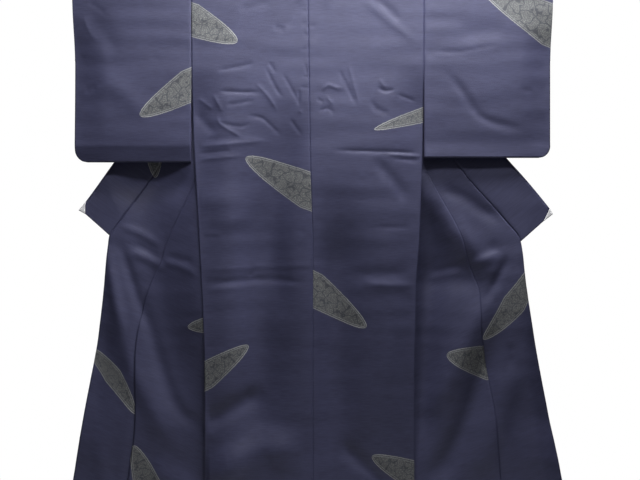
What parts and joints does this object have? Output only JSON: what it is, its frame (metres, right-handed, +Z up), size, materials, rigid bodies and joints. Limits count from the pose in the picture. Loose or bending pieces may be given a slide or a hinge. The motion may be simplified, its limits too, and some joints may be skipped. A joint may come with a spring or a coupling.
{
  "type": "kimono on a hanging pole",
  "caption": "Long silk kimono hung by its sleeves on a straight pole, fronts folded outward, collar opened.",
  "frame": {"origin": "middle of the pole's axis, where the pole is held", "axes": "+Z up, +X along the pole to the picture's right, the kimono's back faces -Y"},
  "size_m": [1.46, 0.1056, 1.6703],
  "materials": {
    "silk": "satin",
    "lining": "satin",
    "wood": "satin"
  },
  "bodies": {
    "root": {"body_left": "silk", "body_right": "silk", "sleeve_left": "silk", "sleeve_right": "silk", "okumi_left": "silk", "okumi_right": "silk", "collar": "silk", "collar_lining_left": "lining", "collar_lining_right": "lining", "pole": "wood"}
  },
  "joints": []
}
